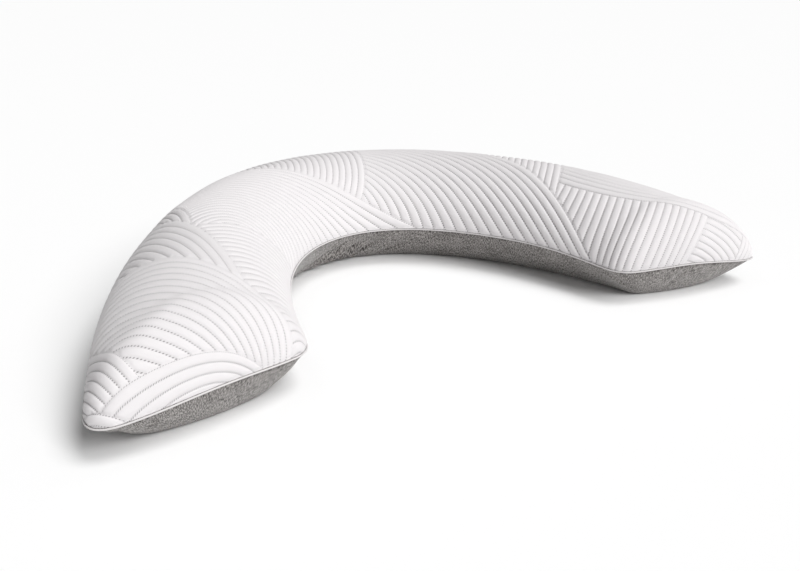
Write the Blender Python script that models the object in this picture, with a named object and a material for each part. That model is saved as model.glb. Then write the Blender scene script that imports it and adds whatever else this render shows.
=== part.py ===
"""Crescent body pillow, lying on its back.

A filled, crescent-shaped cushion in grey knit, with a white quilted panel sewn over its upper
side and a thin white piping round the seam. Metres, +Z up. The pillow rests on z = 0 with the
crescent's opening towards -Y, and the origin is the middle of its footprint's bounding box.
"""

import math

import bmesh
import bpy
import numpy as np
from mathutils import Vector
from mathutils.bvhtree import BVHTree
from mathutils.geometry import delaunay_2d_cdt

# --- the seam's outline, seen from above (metres) -----------------------------------------------
OUTER_HALF_WIDTH = 0.66       # ellipse of the outer edge: its semi-axes along X and Y
OUTER_RISE = 1.25
INNER_HALF_WIDTH = 0.30       # ellipse of the inner edge
INNER_RISE = 0.565
INNER_SHIFT = 0.405           # the inner ellipse's centre, along +Y from the outer one's
TIP_ANGLE = math.radians(25.6)      # where the outer edge ends on its ellipse
CORNER_ANGLE = math.radians(18.4)   # where the inner edge ends on its ellipse
TIP_ROUNDING = 0.045          # how far from the sharp tip its rounding starts
CORNER_ROUNDING = 0.028
END_BULGE = 0.022             # how far each end's edge bows out of a straight line

# --- heights (metres) ---------------------------------------------------------------------------
SEAM_Z = 0.072                # the seam along the arms
SEAM_Z_TIP = 0.047            # the seam at the outer tips
SEAM_Z_CORNER = 0.060         # the seam at the inner corners
TIP_DIP_REACH = 0.14
CORNER_DIP_REACH = 0.11
CROWN_Z = 0.192               # top of the crown over the middle
CROWN_Z_END = 0.158           # top of the crown where the ridge ends
SPINE_REACH = 0.90            # share of each arm's length that the ridge runs along
SIDE_POWER = 0.62             # 0.5 makes the crown's section an ellipse, 1 a parabola
REST_SHARE = 0.52             # share of the half-width that lies flat
BELLY_POWER = 1.30            # how the underside curves up to the seam

# --- layers (metres) ----------------------------------------------------------------------------
CLEARANCE = 0.0003            # gap between neighbouring pieces
PANEL_THICKNESS = 0.0055      # the quilted panel, at a channel's crest
PANEL_EDGE = 0.0015           # the same panel, pressed thin where it is sewn
THINNING_START = 0.985        # where the panel starts to thin, as a share of the half-width
PIPING_RADIUS = 0.0014
PIPING_INSET = 0.0006         # from the outline in to the piping's centre
PIPING_SIDES = 6

# --- quilting (metres, on the panel before it is bent over the cushion) --------------------------
GROOVE_SHARE = 0.16           # depth of a sewn groove over the width of its channel
GROOVE_MAX = 0.0026
LINE_STEP = 0.040             # largest distance between points along a groove or a crest
LINE_FLATNESS = 0.0008        # largest distance between a chord and the bent groove or crest
SHORTEST_LINE = 0.010
CREST_GAP = 0.005             # a crest stops this far from the groove that cuts it off
SEAM_MARGIN = 0.997           # lines stop at this share of the way to the seam

# Overlapping fans of curved channels. Each fan lies over the ones above it in the table.
# x, y: the centre its lines run round; first: radius of its innermost line; pitch: width of a
# channel; channels: how many; skew: how much narrower they get towards lean (in degrees).
FAN_COLUMNS = ("x", "y", "first", "pitch", "channels", "skew", "lean")
FAN_ROWS = (
    (0.20, -0.90, 0.03, 0.0145, 108, 0.10, 90),
    (0.92, -0.46, 0.02, 0.0140, 30, 0.25, 120),
    (0.28, 0.00, 0.03, 0.0150, 26, 0.28, 10),
    (0.66, -0.12, 0.03, 0.0140, 19, 0.30, 300),
    (0.14, 0.24, 0.03, 0.0145, 27, 0.28, 10),
    (0.46, 0.42, 0.03, 0.0135, 20, 0.30, 200),
    (-0.08, 0.08, 0.02, 0.0140, 27, 0.28, 70),
    (0.12, 0.60, 0.03, 0.0135, 23, 0.30, 220),
    (-0.26, 0.20, 0.02, 0.0140, 24, 0.25, 290),
    (-0.30, -0.10, 0.03, 0.0140, 25, 0.28, 110),
    (-0.44, 0.44, 0.02, 0.0135, 22, 0.30, 240),
    (-0.70, -0.04, 0.02, 0.0145, 26, 0.28, 300),
    (-0.24, -0.36, 0.02, 0.0145, 22, 0.28, 40),
    (-0.84, -0.34, 0.04, 0.0155, 30, 0.28, 280),
    (-0.60, -0.54, 0.03, 0.0160, 26, 0.28, 345),
    (-0.94, -0.36, 0.03, 0.0155, 28, 0.28, 60),
    (-0.40, -0.80, 0.02, 0.0155, 32, 0.28, 40),
    (-0.80, -0.66, 0.03, 0.0160, 23, 0.28, 350),
)
FANS = [dict(zip(FAN_COLUMNS, row)) for row in FAN_ROWS]

# --- meshing ------------------------------------------------------------------------------------
FLATNESS = 0.00045            # largest distance between a chord and the outline's curve
LONGEST_CHORD = 0.034
PANEL_RINGS = (0.30, 0.55, 0.75, 0.90, 0.97, 0.993)     # shares of the half-width, from the ridge
BELLY_RINGS = (0.62, 0.74, 0.87)
ALMOST_SEAM = 0.9995          # share at which the direction out of the seam is read
SPINE_POINTS = 24
GUIDE_RINGS = 36              # fine surface that the panel's points are read from
GUIDE_POINTS = 560

WHITE_KNIT = (0.86, 0.86, 0.87, 1.0)
GREY_KNIT = (0.27, 0.27, 0.28, 1.0)


# === outline ====================================================================================

def run_lengths(path):
    """Distance along a path at each of its points, measured in its first two columns."""
    steps = np.linalg.norm(np.diff(path[:, :2], axis=0), axis=1)
    return np.concatenate([[0.0], np.cumsum(steps)])


def at_lengths(path, lengths):
    """Every column of a path, read at the given distances along it."""
    run = run_lengths(path)
    return np.stack([np.interp(lengths, run, column) for column in path.T], axis=1)


def ellipse_edge(centre_y, half_width, rise, end_angle):
    """An edge of the right arm, from the crescent's middle to its end."""
    angles = np.linspace(math.pi / 2, end_angle, 1500)
    return np.stack([half_width * np.cos(angles), centre_y + rise * np.sin(angles)], axis=1)


def rounding(start, corner, end, count=40):
    """A curve that leaves start towards the corner and arrives at end from the corner."""
    t = np.linspace(0.0, 1.0, count)[:, None]
    return start * (1 - t) ** 2 + 2 * corner * t * (1 - t) + end * t ** 2


def end_edge(tip, corner):
    """The bowed edge that closes the right arm, from its tip to its inner corner."""
    chord = corner - tip
    outward = np.array([chord[1], -chord[0]]) / np.linalg.norm(chord)
    outward = outward if outward[1] < 0 else -outward
    t = np.linspace(0.0, 1.0, 200)[:, None]
    return tip * (1 - t) + corner * t + outward * END_BULGE * 4 * t * (1 - t)


def arm_edges():
    """The right arm's outer and inner edges, from the crescent's middle to its end."""
    outer = ellipse_edge(0.0, OUTER_HALF_WIDTH, OUTER_RISE, TIP_ANGLE)
    inner = ellipse_edge(INNER_SHIFT, INNER_HALF_WIDTH, INNER_RISE, CORNER_ANGLE)
    lowest = end_edge(outer[-1], inner[-1])[:, 1].min()
    centring = (0.0, (OUTER_RISE + lowest) / 2)
    return outer - centring, inner - centring


def ridge_points(outer, inner, share):
    """Points of the ridge, midway between the edges, at shares of the arm's length."""
    share = np.minimum(share, SPINE_REACH)
    return (at_lengths(outer, share * run_lengths(outer)[-1])
            + at_lengths(inner, share * run_lengths(inner)[-1])) / 2


def seam_dip(edge, place, low, reach):
    """How far the seam drops near a tip or a corner."""
    return (SEAM_Z - low) * np.exp(-(np.linalg.norm(edge - place, axis=1) / reach) ** 2)


def fine_outline():
    """The seam's outline in small steps: columns x, y, ridge x, ridge y, crown z, seam z."""
    outer, inner = arm_edges()
    tip, corner = outer[-1], inner[-1]
    end = end_edge(tip, corner)
    outer_length, inner_length = run_lengths(outer)[-1], run_lengths(inner)[-1]
    outer_run = np.linspace(0.0, outer_length - TIP_ROUNDING, 900)
    inner_run = np.linspace(inner_length - CORNER_ROUNDING, 0.0, 600)
    outer_part, inner_part = at_lengths(outer, outer_run), at_lengths(inner, inner_run)
    end_run = np.linspace(TIP_ROUNDING, run_lengths(end)[-1] - CORNER_ROUNDING, 150)
    end_part = at_lengths(end, end_run)
    tip_part = rounding(outer_part[-1], tip, end_part[0])[1:-1]
    corner_part = rounding(end_part[-1], corner, inner_part[0])[1:-1]
    around_end = np.vstack([tip_part, end_part, corner_part])
    edge = np.vstack([outer_part, around_end, inner_part])
    share = np.concatenate([
        outer_run / outer_length, np.ones(len(around_end)), inner_run / inner_length])
    crown = CROWN_Z - (CROWN_Z - CROWN_Z_END) * np.minimum(share / SPINE_REACH, 1.0) ** 4
    seam = (SEAM_Z - seam_dip(edge, tip, SEAM_Z_TIP, TIP_DIP_REACH)
            - seam_dip(edge, corner, SEAM_Z_CORNER, CORNER_DIP_REACH))
    right = np.column_stack([edge, ridge_points(outer, inner, share), crown, seam])
    left = right[-2:0:-1] * (-1, 1, -1, 1, 1, 1)
    return np.vstack([right, left])


def closed(outline):
    """The outline with its first point again at its end."""
    return np.vstack([outline, outline[:1]])


def curvature_steps(outline):
    """Places along the closed outline, closer together where it bends more."""
    loop = closed(outline)
    run = run_lengths(loop)
    step = np.diff(loop[:, :2], axis=0)
    heading = np.arctan2(step[:, 1], step[:, 0])
    turn = np.abs((np.roll(heading, -1) - heading + math.pi) % (2 * math.pi) - math.pi)
    bend = turn / np.diff(run)
    window = np.ones(31) / 31
    bend = np.convolve(np.tile(bend, 3), window, "same")[len(bend):2 * len(bend)]
    density = np.maximum(1 / LONGEST_CHORD, np.sqrt(bend / (8 * FLATNESS)))
    total = np.concatenate([[0.0], np.cumsum(density * np.diff(run))])
    count = 2 * round(total[-1] / 2)
    return np.interp(np.linspace(0.0, total[-1], count, endpoint=False), total, run)


def resampled(outline, where):
    """The outline's columns at the given places along it."""
    return at_lengths(closed(outline), where)


# === the filled form ============================================================================

def ring(outline, share):
    """Points of the upper surface at one share of the way from the ridge to the seam."""
    plan = outline[:, 2:4] + share * (outline[:, 0:2] - outline[:, 2:4])
    crown, seam = outline[:, 4], outline[:, 5]
    height = seam + (crown - seam) * (1 - share ** 2) ** SIDE_POWER
    return np.column_stack([plan, height])


def flat_ring(outline, share):
    """The same points on the panel laid flat, so that lengths across it are kept."""
    angles = np.linspace(0.0, math.asin(share), 160)
    reach = np.linalg.norm(outline[:, 0:2] - outline[:, 2:4], axis=1)
    rise = outline[:, 4] - outline[:, 5]
    out = np.sin(angles)[:, None] * reach
    up = (np.cos(angles) ** (2 * SIDE_POWER))[:, None] * rise
    length = np.hypot(np.diff(out, axis=0), np.diff(up, axis=0)).sum(axis=0)
    return outline[:, 2:4] + (outline[:, 0:2] - outline[:, 2:4]) * (length / reach)[:, None]


def belly_ring(outline, share):
    """Points of the underside at one share of the way from the ridge to the seam."""
    plan = outline[:, 2:4] + share * (outline[:, 0:2] - outline[:, 2:4])
    lift = max(0.0, (share - REST_SHARE) / (1 - REST_SHARE)) ** BELLY_POWER
    return np.column_stack([plan, outline[:, 5] * lift])


def thickness(share):
    """The quilted panel's thickness at a share of the way from the ridge to the seam."""
    t = np.clip((1 - share) / (1 - THINNING_START), 0.0, 1.0)
    return PANEL_EDGE + (PANEL_THICKNESS - PANEL_EDGE) * t * t * (3 - 2 * t)


def point_normals(points, triangles):
    """Unit normals at a mesh's points."""
    a, b, c = (points[triangles[:, i]] for i in range(3))
    facing = np.cross(b - a, c - a)
    normals = np.zeros_like(points)
    for i in range(3):
        np.add.at(normals, triangles[:, i], facing)
    return normals / np.maximum(np.linalg.norm(normals, axis=1, keepdims=True), 1e-12)


class Guide:
    """The smooth upper surface, read at points of the panel laid flat."""

    def __init__(self, outline):
        around = run_lengths(closed(outline))[-1]
        columns = resampled(outline, np.linspace(0.0, around, GUIDE_POINTS, endpoint=False))
        shares = np.sin(np.linspace(0.0, math.pi / 2, GUIDE_RINGS + 1))
        shares[-1] = 1.0
        self.points = np.vstack([ring(columns, share) for share in shares])
        self.flat = np.vstack([flat_ring(columns, share) for share in shares])
        self.share = np.repeat(shares, GUIDE_POINTS)
        inner = np.arange(GUIDE_RINGS * GUIDE_POINTS)
        beside = inner - inner % GUIDE_POINTS + (inner + 1) % GUIDE_POINTS
        self.triangles = np.vstack([
            np.stack([inner, beside, inner + GUIDE_POINTS], axis=1),
            np.stack([beside, beside + GUIDE_POINTS, inner + GUIDE_POINTS], axis=1)])
        self.normals = point_normals(self.points, self.triangles)
        self.normals *= np.where(self.normals[:, 2:] < 0, -1, 1)
        corners = np.column_stack([self.flat, np.zeros(len(self.flat))])
        self.tree = BVHTree.FromPolygons(corners.tolist(), self.triangles.tolist())

    def read(self, flat):
        """Positions, normals and shares at flat points, and which of the points lie on the panel."""
        down = Vector((0.0, 0.0, -1.0))
        found = [self.tree.ray_cast(Vector((x, y, 1.0)), down)[2] for x, y in flat.tolist()]
        on_panel = np.array([index is not None for index in found])
        corners = self.triangles[[index or 0 for index in found]]
        a, b, c = (self.flat[corners[:, i]] for i in range(3))
        area = np.cross(b - a, c - a)
        second = np.cross(flat - a, c - a) / area
        third = np.cross(b - a, flat - a) / area
        weights = np.stack([1 - second - third, second, third], axis=1)
        position = (self.points[corners] * weights[..., None]).sum(axis=1)
        normal = (self.normals[corners] * weights[..., None]).sum(axis=1)
        normal /= np.linalg.norm(normal, axis=1, keepdims=True)
        return position, normal, (self.share[corners] * weights).sum(axis=1), on_panel


# === quilting ===================================================================================

def fan_lines_crossed(fan, flat):
    """How many channels of a fan lie between its innermost line and each flat point."""
    away = flat - (fan["x"], fan["y"])
    angle = np.arctan2(away[:, 1], away[:, 0]) - math.radians(fan["lean"])
    radius = np.linalg.norm(away, axis=1) * (1 + fan["skew"] * np.cos(angle))
    return (radius - fan["first"]) / fan["pitch"]


def fan_line(fan, number, step):
    """One closed line of a fan, with the width of a channel at each of its points."""
    radius = fan["first"] + number * fan["pitch"]
    count = max(24, round(2 * math.pi * radius / step))
    angles = np.linspace(0.0, 2 * math.pi, count, endpoint=False)
    squeeze = 1 + fan["skew"] * np.cos(angles - math.radians(fan["lean"]))
    away = np.stack([np.cos(angles), np.sin(angles)], axis=1) * (radius / squeeze)[:, None]
    return away + (fan["x"], fan["y"]), fan["pitch"] / squeeze


def visible_runs(guide, index, number):
    """The stretches of a fan's line that lie on the panel and under no later fan."""
    line, width = fan_line(FANS[index], number, 0.002)
    near = (np.abs(line[:, 0]) < 1.0) & (np.abs(line[:, 1]) < 1.0)
    shown = near.copy()
    if near.any():
        share, on_panel = guide.read(line[near])[2:]
        shown[near] = on_panel & (share < SEAM_MARGIN)
    for later in FANS[index + 1:]:
        shown &= fan_lines_crossed(later, line) > later["channels"]
    if not shown.any():
        return []
    start = int(np.argmin(shown))
    table = np.column_stack([line, width])
    table, shown = np.roll(table, -start, axis=0), np.roll(shown, -start)
    breaks = np.flatnonzero(np.diff(np.concatenate([[False], shown, [False]]).astype(int)))
    return [table[first:last] for first, last in breaks.reshape(-1, 2)]


def turns(directions):
    """Angles between neighbouring unit directions."""
    return np.arccos(np.clip((directions[1:] * directions[:-1]).sum(axis=1), -1.0, 1.0))


def spread_along(guide, table, trim):
    """Places for points along a line, closer together where the line or the surface bends."""
    run = run_lengths(table)
    normal = guide.read(table[:, :2])[1]
    heading = np.diff(table[:, :2], axis=0) / np.diff(run)[:, None]
    bend = np.hypot(turns(normal), np.append(turns(heading), 0.0)) / np.diff(run)
    density = np.maximum(1 / LINE_STEP, np.sqrt(bend / (8 * LINE_FLATNESS)))
    need = np.concatenate([[0.0], np.cumsum(density * np.diff(run))])
    first, last = np.interp((trim, run[-1] - trim), run, need)
    count = max(2, math.ceil(last - first) + 1)
    return np.interp(np.linspace(first, last, count), need, run)


def quilting_lines(guide):
    """Grooves and crests of the whole panel: pairs of flat points and their depths."""
    lines = []
    for index, fan in enumerate(FANS):
        for half in range(2 * fan["channels"] + 1):
            is_crest = half % 2 == 1
            trim = CREST_GAP if is_crest else 0.0
            for table in visible_runs(guide, index, half / 2):
                run = run_lengths(table)
                if run[-1] < 2 * trim + SHORTEST_LINE:
                    continue
                points = at_lengths(table, spread_along(guide, table, trim))
                depth = np.minimum(GROOVE_SHARE * points[:, 2], GROOVE_MAX)
                lines.append((points[:, :2], depth * (not is_crest)))
    return lines


# === meshes =====================================================================================

def triangulated(points, edges):
    """Triangles between flat points that keep the given edges; points that it adds come last."""
    result = delaunay_2d_cdt([Vector(p) for p in points.tolist()], edges, [], 1, 1e-6)
    names, added = [], []
    for place, source in zip(result[0], result[3]):
        names.append(source[0] if source else len(points) + len(added))
        if not source:
            added.append(tuple(place))
    points = np.vstack([points, np.array(added).reshape(-1, 2)])
    return points, np.array([[names[i] for i in face] for face in result[2]])


def loop_edges(first, count):
    """Edges round a closed loop of points."""
    return [(first + i, first + (i + 1) % count) for i in range(count)]


def chain_edges(first, count):
    """Edges along an open line of points."""
    return [(first + i, first + i + 1) for i in range(count - 1)]


def strip(upper, lower, count):
    """Triangles between two closed loops of points, given where each loop starts."""
    faces = []
    for i in range(count):
        j = (i + 1) % count
        faces += [(upper + i, upper + j, lower + j), (upper + i, lower + j, lower + i)]
    return np.array(faces)


def outward_at_seam(guide, outline):
    """Level unit directions that point out of the pillow, at the seam."""
    outward = guide.read(flat_ring(outline, ALMOST_SEAM))[1]
    outward[:, 2] = 0.0
    return outward / np.linalg.norm(outward, axis=1, keepdims=True)


def surface_points(guide, outline, inside):
    """The smooth surface at the seam and at flat points inside it: positions, normals, shares."""
    position, normal, share, _ = guide.read(inside)
    return (np.vstack([ring(outline, 1.0), position]),
            np.vstack([outward_at_seam(guide, outline), normal]),
            np.concatenate([np.ones(len(outline)), share]))


def smooth_side(outline, guide):
    """The surface between panel and cushion: its points, normals, shares and triangles."""
    count = len(outline)
    rings = [flat_ring(outline, share) for share in (1.0,) + PANEL_RINGS[::-1]]
    right = ridge_points(*arm_edges(), np.linspace(0.0, SPINE_REACH, SPINE_POINTS))
    ridge = np.vstack([right[:0:-1] * (-1, 1), right])
    edges = [edge for i in range(len(rings)) for edge in loop_edges(i * count, count)]
    edges += chain_edges(len(rings) * count, len(ridge))
    flat, faces = triangulated(np.vstack(rings + [ridge]), edges)
    return *surface_points(guide, outline, flat[count:]), faces


def quilted_top(outline, guide):
    """The wadded upper panel: channels above, smooth below, pressed thin along the seam."""
    count = len(outline)
    flats, edges, depths = [flat_ring(outline, 1.0)], loop_edges(0, count), [np.zeros(count)]
    total = count
    for points, depth in quilting_lines(guide):
        flats.append(points)
        depths.append(depth)
        edges += chain_edges(total, len(points))
        total += len(points)
    flat, above = triangulated(np.vstack(flats), edges)
    depth = np.concatenate(depths + [np.full(len(flat) - total, GROOVE_MAX)])
    position, normal, share = surface_points(guide, outline, flat[count:])
    depth = np.minimum(depth, thickness(share) / 2)
    depth[:count] = 0.0
    top = position - normal * depth[:, None]
    position, normal, share, below = smooth_side(outline, guide)
    bottom = position - normal * thickness(share)[:, None]
    faces = np.vstack([above, below[:, ::-1] + len(top), strip(0, len(top), count)])
    return np.vstack([top, bottom]), faces


def cushion(outline, guide):
    """The filled cushion, from the underside that lies on the floor to the crown under the panel."""
    count = len(outline)
    position, normal, share, above = smooth_side(outline, guide)
    top = position - normal * (thickness(share) + CLEARANCE)[:, None]
    rings = [belly_ring(outline, share) for share in BELLY_RINGS[::-1] + (REST_SHARE,)]
    flats = np.vstack([top[:count, :2]] + [points[:, :2] for points in rings])
    edges = [edge for i in range(len(rings) + 1) for edge in loop_edges(i * count, count)]
    flat, below = triangulated(flats, edges)
    below = np.where(below < count, below, below + len(top) - count)
    return np.vstack([top] + rings), np.vstack([above, below[:, ::-1]])


def piping(outline, guide):
    """A round cord that runs along the seam, tucked under the panel's edge."""
    count = len(outline)
    outward = outward_at_seam(guide, outline)
    up = np.array((0.0, 0.0, 1.0))
    centre = ring(outline, 1.0) - outward * PIPING_INSET - up * (PIPING_RADIUS + CLEARANCE)
    angles = np.linspace(0.0, 2 * math.pi, PIPING_SIDES, endpoint=False)
    loops = [centre + PIPING_RADIUS * (outward * math.cos(a) + up * math.sin(a)) for a in angles]
    faces = [strip(i * count, (i + 1) % PIPING_SIDES * count, count) for i in range(PIPING_SIDES)]
    return np.vstack(loops), np.vstack(faces)


# === objects ====================================================================================

def knit_material(name, colour):
    """A soft, matt cloth."""
    material = bpy.data.materials.new(name)
    material.use_nodes = True
    shader = material.node_tree.nodes["Principled BSDF"]
    shader.inputs["Base Color"].default_value = colour
    shader.inputs["Roughness"].default_value = 0.9
    shader.inputs["Metallic"].default_value = 0.0
    return material


def new_object(name, points, faces, material):
    """A smooth-shaded object without loose points, its faces turned outwards."""
    used = np.unique(faces)
    mesh = bpy.data.meshes.new(name)
    mesh.from_pydata(points[used].tolist(), [], np.searchsorted(used, faces).tolist())
    body = bmesh.new()
    body.from_mesh(mesh)
    bmesh.ops.recalc_face_normals(body, faces=body.faces)
    body.to_mesh(mesh)
    body.free()
    mesh.shade_smooth()
    mesh.set_sharp_from_angle(angle=math.radians(50))
    mesh.materials.append(material)
    bpy.context.scene.collection.objects.link(bpy.data.objects.new(name, mesh))
    print(name, len(mesh.polygons), "triangles")


def main():
    for old in list(bpy.data.objects):
        bpy.data.objects.remove(old)
    fine = fine_outline()
    guide = Guide(fine)
    outline = resampled(fine, curvature_steps(fine))
    white = knit_material("white_knit", WHITE_KNIT)
    new_object("cushion", *cushion(outline, guide), knit_material("grey_knit", GREY_KNIT))
    new_object("quilted_top", *quilted_top(outline, guide), white)
    new_object("piping", *piping(outline, guide), white)


main()
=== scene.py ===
# %% [markdown]
# # A crescent body pillow
#
# A body pillow is a long cushion that a sleeper lies against. This one is bent into a crescent.
# Its upper side is a white knitted panel, wadded and quilted with curved channels; its underside is
# a grey heather jersey; and a thin white piping runs round the seam where the two meet. It lies on
# its back, on a white floor.
#
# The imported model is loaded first. It holds the pillow's plain solids at their real size, in
# metres, and every piece made below takes the place of one of them without moving it.

# %% Load the plain solids
import math

import bmesh
import bpy
import numpy as np
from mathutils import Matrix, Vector, noise
from mathutils.bvhtree import BVHTree
from mathutils.geometry import delaunay_2d_cdt


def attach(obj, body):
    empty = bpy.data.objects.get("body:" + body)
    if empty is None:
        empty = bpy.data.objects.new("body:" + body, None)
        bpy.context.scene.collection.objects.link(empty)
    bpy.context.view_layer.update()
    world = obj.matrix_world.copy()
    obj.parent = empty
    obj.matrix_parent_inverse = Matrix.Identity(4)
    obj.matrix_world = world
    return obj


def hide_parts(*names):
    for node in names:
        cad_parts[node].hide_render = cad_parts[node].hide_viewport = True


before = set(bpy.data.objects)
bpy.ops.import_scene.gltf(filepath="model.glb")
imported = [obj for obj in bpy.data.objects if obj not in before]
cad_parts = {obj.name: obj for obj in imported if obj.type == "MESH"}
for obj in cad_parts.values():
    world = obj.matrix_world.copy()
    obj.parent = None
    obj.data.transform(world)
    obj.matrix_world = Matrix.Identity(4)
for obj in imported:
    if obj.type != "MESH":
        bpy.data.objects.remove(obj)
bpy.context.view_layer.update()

# %% [markdown]
# ## Camera
#
# The camera stands in front of the pillow's left arm and a little above it, with a lens close to
# normal. It is placed by a bearing, a height above the horizon and a distance from the point it
# looks at, because those are the numbers a photographer would call out. The lens is centred, so
# that any other view can reuse it.

# %% Place the camera
VIEW_BEARING = math.radians(-31.356)
VIEW_HEIGHT = math.radians(21.251)
VIEW_DISTANCE = 1.378
LOOK_AT = Vector((-0.0527, -0.1568, 0.0550))
LENS_MM = 38.25
SENSOR_MM = 36.0
FARTHEST_SHOWN = 200.0


def add_object(name, data):
    """A new object in the scene, for a mesh, a camera or a light."""
    made = bpy.data.objects.new(name, data)
    bpy.context.scene.collection.objects.link(made)
    return made


toward_camera = Vector((
    math.sin(VIEW_BEARING) * math.cos(VIEW_HEIGHT),
    -math.cos(VIEW_BEARING) * math.cos(VIEW_HEIGHT),
    math.sin(VIEW_HEIGHT)))
lens = bpy.data.cameras.new("camera")
lens.lens = LENS_MM
lens.sensor_width = SENSOR_MM
lens.sensor_fit = "HORIZONTAL"
lens.clip_end = FARTHEST_SHOWN
camera = add_object("camera", lens)
camera.location = LOOK_AT + toward_camera * VIEW_DISTANCE
camera.rotation_euler = toward_camera.to_track_quat("Z", "Y").to_euler()
bpy.context.scene.camera = camera
print("camera at", [round(value, 3) for value in camera.location])

# %% [markdown]
# ## The seam's outline
#
# The sewn edge of a crescent pillow is close to two half ellipses, a wide one outside and a narrow
# one inside, joined by a slightly bowed edge across each end. So the outline is worked out from
# the two ellipses' sizes, and only the tips and corners are rounded. Each point of the outline
# also knows the point of the ridge across from it, midway between the two edges, and how high the
# crown and the seam are there. Every surface of the pillow is then made between outline and ridge.

# %% Sizes of the outline and its heights
OUTER_HALF_WIDTH = 0.66
OUTER_RISE = 1.25
INNER_HALF_WIDTH = 0.30
INNER_RISE = 0.565
INNER_SHIFT = 0.405
TIP_ANGLE = math.radians(25.6)
CORNER_ANGLE = math.radians(18.4)
TIP_ROUNDING = 0.045
CORNER_ROUNDING = 0.028
END_BULGE = 0.022

SEAM_Z = 0.072
SEAM_Z_TIP = 0.047
SEAM_Z_CORNER = 0.060
TIP_DIP_REACH = 0.14
CORNER_DIP_REACH = 0.11
CROWN_Z = 0.192
CROWN_Z_END = 0.158
CROWN_FALL_POWER = 4           # the crown stays high along the arm and falls near its end
SPINE_REACH = 0.90             # the ridge ends at this share of the arm's length
SIDE_POWER = 0.62              # below 1, the crown's sides are steeper and its top is broader
REST_SHARE = 0.52              # the underside lies flat up to this share of the way to the seam
BELLY_POWER = 1.30             # how the underside curves up from there

# How many points draw each fine curve, before the outline is evened out.
ELLIPSE_POINTS = 1500
BOW_POINTS = 200
ROUNDING_POINTS = 40
OUTER_POINTS = 900
INNER_POINTS = 600
END_POINTS = 150


# %% Paths measured along their length
def run_lengths(path):
    """Distance along a path at each of its points, measured in its first two columns."""
    steps = np.linalg.norm(np.diff(path[:, :2], axis=0), axis=1)
    return np.concatenate([[0.0], np.cumsum(steps)])


def at_lengths(path, lengths):
    """Every column of a path, read at the given distances along it."""
    run = run_lengths(path)
    return np.stack([np.interp(lengths, run, column) for column in path.T], axis=1)


def closed(path):
    """The path with its first point again at its end."""
    return np.vstack([path, path[:1]])


# %% One arm's edges
def ellipse_edge(centre_y, half_width, rise, end_angle):
    """An edge of the right arm, from the crescent's middle to its end."""
    angles = np.linspace(math.pi / 2, end_angle, ELLIPSE_POINTS)
    return np.stack([half_width * np.cos(angles), centre_y + rise * np.sin(angles)], axis=1)


def rounding(start, corner, end):
    """A curve that leaves start towards the corner and arrives at end from the corner."""
    t = np.linspace(0.0, 1.0, ROUNDING_POINTS)[:, None]
    return start * (1 - t) ** 2 + 2 * corner * t * (1 - t) + end * t ** 2


def end_edge(tip, corner):
    """The bowed edge that closes the right arm, from its tip to its inner corner."""
    chord = corner - tip
    outward = np.array([chord[1], -chord[0]]) / np.linalg.norm(chord)
    outward = outward if outward[1] < 0 else -outward
    t = np.linspace(0.0, 1.0, BOW_POINTS)[:, None]
    return tip * (1 - t) + corner * t + outward * END_BULGE * 4 * t * (1 - t)


def arm_edges():
    """The right arm's outer and inner edges, from the crescent's middle to its end."""
    outer = ellipse_edge(0.0, OUTER_HALF_WIDTH, OUTER_RISE, TIP_ANGLE)
    inner = ellipse_edge(INNER_SHIFT, INNER_HALF_WIDTH, INNER_RISE, CORNER_ANGLE)
    lowest = end_edge(outer[-1], inner[-1])[:, 1].min()
    centring = (0.0, (OUTER_RISE + lowest) / 2)
    return outer - centring, inner - centring


outer_edge, inner_edge = arm_edges()
print("outer edge:", round(2 * run_lengths(outer_edge)[-1], 3), "m,",
      "inner edge:", round(2 * run_lengths(inner_edge)[-1], 3), "m")


# %% The whole outline, with its ridge and heights
def ridge_points(outer, inner, share):
    """Points of the ridge, midway between the edges, at shares of the arm's length."""
    share = np.minimum(share, SPINE_REACH)
    return (at_lengths(outer, share * run_lengths(outer)[-1])
            + at_lengths(inner, share * run_lengths(inner)[-1])) / 2


def seam_dip(edge, place, low, reach):
    """How far the seam drops near a tip or a corner."""
    return (SEAM_Z - low) * np.exp(-(np.linalg.norm(edge - place, axis=1) / reach) ** 2)


def fine_outline(outer, inner):
    """The seam's outline in small steps: columns x, y, ridge x, ridge y, crown z, seam z."""
    tip, corner = outer[-1], inner[-1]
    end = end_edge(tip, corner)
    outer_length, inner_length = run_lengths(outer)[-1], run_lengths(inner)[-1]
    outer_run = np.linspace(0.0, outer_length - TIP_ROUNDING, OUTER_POINTS)
    inner_run = np.linspace(inner_length - CORNER_ROUNDING, 0.0, INNER_POINTS)
    outer_part, inner_part = at_lengths(outer, outer_run), at_lengths(inner, inner_run)
    end_length = run_lengths(end)[-1]
    end_run = np.linspace(TIP_ROUNDING, end_length - CORNER_ROUNDING, END_POINTS)
    end_part = at_lengths(end, end_run)
    tip_part = rounding(outer_part[-1], tip, end_part[0])[1:-1]
    corner_part = rounding(end_part[-1], corner, inner_part[0])[1:-1]
    around_end = np.vstack([tip_part, end_part, corner_part])
    edge = np.vstack([outer_part, around_end, inner_part])
    share = np.concatenate([
        outer_run / outer_length, np.ones(len(around_end)), inner_run / inner_length])
    along_ridge = np.minimum(share / SPINE_REACH, 1.0)
    crown = CROWN_Z - (CROWN_Z - CROWN_Z_END) * along_ridge ** CROWN_FALL_POWER
    seam = (SEAM_Z - seam_dip(edge, tip, SEAM_Z_TIP, TIP_DIP_REACH)
            - seam_dip(edge, corner, SEAM_Z_CORNER, CORNER_DIP_REACH))
    right = np.column_stack([edge, ridge_points(outer, inner, share), crown, seam])
    left = right[-2:0:-1] * (-1, 1, -1, 1, 1, 1)
    return np.vstack([right, left])


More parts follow.
